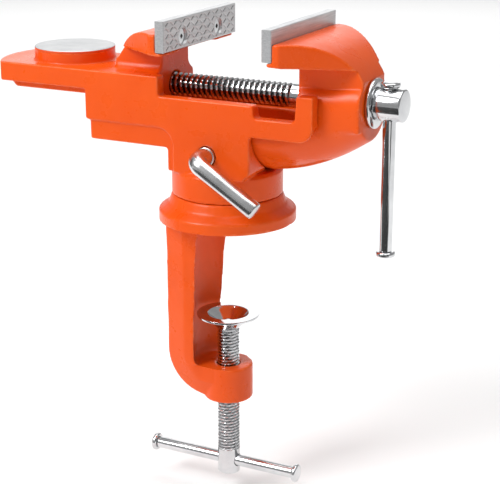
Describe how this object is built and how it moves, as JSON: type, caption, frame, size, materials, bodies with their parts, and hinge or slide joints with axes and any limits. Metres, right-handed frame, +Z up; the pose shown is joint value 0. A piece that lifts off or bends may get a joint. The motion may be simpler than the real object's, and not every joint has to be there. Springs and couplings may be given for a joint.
{
  "type": "bench vise",
  "caption": "Clamp-on swivelling bench vise with screw-driven jaw, steel jaw plates, small round anvil, lock lever and bench clamp.",
  "frame": {"origin": "centre of the swivel flange's flat underside, which rests on the bench top", "axes": "+Z up along the swivel and clamp screw axis, +X along the main screw towards its handle, +Y away from the lock lever's side"},
  "size_m": [0.229, 0.081, 0.2537],
  "materials": {
    "paint": "semi-gloss orange enamel over cast iron",
    "jaw_steel": "milled, with a cross-hatched gripping face",
    "chrome": "bright zinc and chrome plate",
    "black_steel": "black oxide",
    "bronze": "machined"
  },
  "bodies": {
    "clamp_base": {"clamp_frame": "paint", "swivel_bolt": "black_steel"},
    "vise_body": {"fixed_body": "paint", "brake_pin": "black_steel", "spindle_nut": "bronze", "nut_screw_1": "black_steel", "nut_screw_2": "black_steel", "fixed_jaw_plate": "jaw_steel", "fixed_jaw_screw_1": "chrome", "fixed_jaw_screw_2": "chrome"},
    "sliding_jaw": {"moving_jaw": "paint", "moving_jaw_plate": "jaw_steel", "moving_jaw_screw_1": "chrome", "moving_jaw_screw_2": "chrome", "retaining_screw": "black_steel"},
    "main_screw": {"spindle": "chrome", "thrust_washer": "chrome"},
    "main_handle": {"spindle_bar": "chrome", "spindle_bar_cap_bottom": "chrome", "spindle_bar_cap_top": "chrome"},
    "swivel_lock": {"lock_lever": "chrome"},
    "bench_pad": {"clamp_pad": "chrome"},
    "bench_screw": {"clamp_screw": "chrome"},
    "bench_handle": {"clamp_bar": "chrome", "clamp_bar_cap_left": "chrome", "clamp_bar_cap_right": "chrome"}
  },
  "joints": [
    {"name": "swivel", "type": "hinge", "parent": "clamp_base", "child": "vise_body", "pos_m": [0, 0, 0.0143], "axis": [0, 0, 1], "continuous": true},
    {"name": "jaw_travel", "type": "slide", "parent": "vise_body", "child": "sliding_jaw", "axis": [1, 0, 0], "range_m": [-0.0243, 0.025]},
    {"name": "spindle_turn", "type": "hinge", "parent": "sliding_jaw", "child": "main_screw", "pos_m": [0.0804, 0, 0.0683], "axis": [1, 0, 0], "range_deg": [-2915, 2999]},
    {"name": "spindle_bar_slide", "type": "slide", "parent": "main_screw", "child": "main_handle", "axis": [0, 0, 1], "range_m": [0, 0.0656]},
    {"name": "lock_lever_turn", "type": "hinge", "parent": "vise_body", "child": "swivel_lock", "pos_m": [0.0014, -0.026, 0.03825], "axis": [0, -1, 0], "range_deg": [-20, 150]},
    {"name": "clamp_travel", "type": "slide", "parent": "clamp_base", "child": "bench_pad", "axis": [0, 0, 1], "range_m": [-0.02, 0.033]},
    {"name": "clamp_turn", "type": "hinge", "parent": "bench_pad", "child": "bench_screw", "pos_m": [0, 0, -0.0618], "axis": [0, 0, 1], "range_deg": [-4113, 6787]},
    {"name": "clamp_bar_slide", "type": "slide", "parent": "bench_screw", "child": "bench_handle", "axis": [1, 0, 0], "range_m": [-0.0333, 0.0384]}
  ],
  "couplings": [
    {"joint": "jaw_travel", "follows": "spindle_turn", "m_per_rad": 0.00047746},
    {"joint": "clamp_travel", "follows": "clamp_turn", "m_per_rad": 0.00027852}
  ]
}
